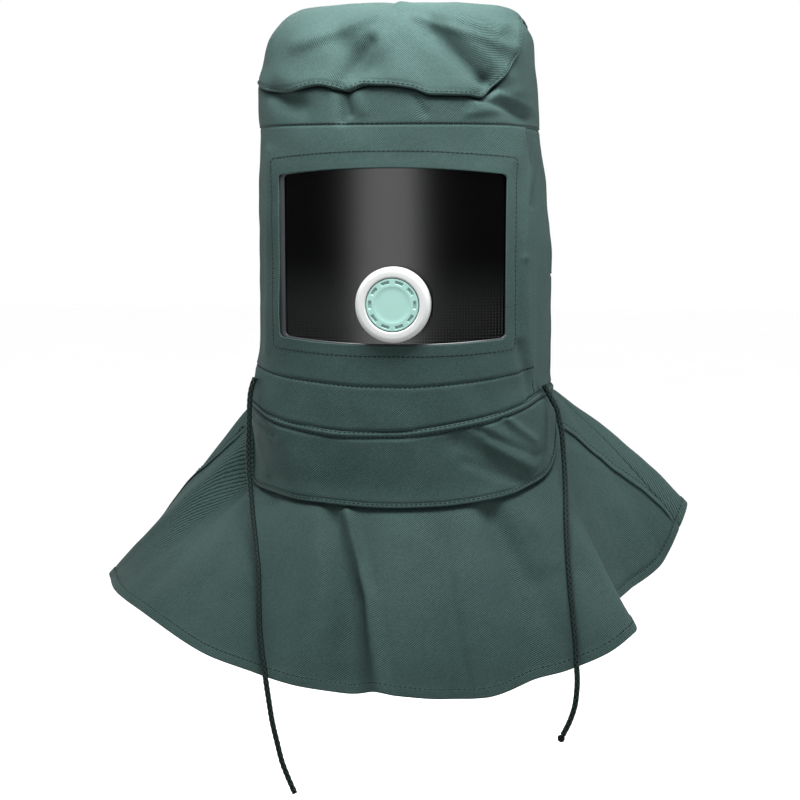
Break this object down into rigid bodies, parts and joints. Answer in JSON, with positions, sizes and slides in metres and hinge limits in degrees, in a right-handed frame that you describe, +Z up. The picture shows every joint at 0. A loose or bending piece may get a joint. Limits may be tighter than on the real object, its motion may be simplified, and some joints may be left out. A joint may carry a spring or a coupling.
{
  "type": "sandblasting hood",
  "caption": "Canvas sandblasting hood with a clear window, a breathing valve, a drawstring neck and a flared shoulder cape that guard head and shoulders from flying grit.",
  "frame": {"origin": "inside of the crown's top, where the head carries the hood", "axes": "+Z up, the window faces -Y, +X to the viewer's right"},
  "size_m": [0.5479, 0.4014, 0.6746],
  "materials": {
    "canvas": "dull teal-green twill canvas",
    "lining": "black twill",
    "trim": "glossy dark grey edging",
    "pane": "clear flexible sheet",
    "valve_white": "white, satin",
    "valve_mint": "mint green, satin",
    "cord": "dark green and black braid"
  },
  "bodies": {
    "root": {"crown_top": "canvas", "crown_band": "canvas", "face_panel": "canvas", "window_trim": "trim", "window_pane": "pane", "valve_body": "valve_white", "valve_cap": "valve_mint", "valve_nut": "valve_white", "inner_lining": "lining", "side_left": "canvas", "side_right": "canvas", "back_upper": "canvas", "back_lower": "canvas", "chin_band": "canvas", "neck_casing": "canvas", "bib": "canvas", "cape_front": "canvas", "cape_back": "canvas", "cord_left": "cord", "cord_right": "cord", "cord_knob": "cord"}
  },
  "joints": []
}
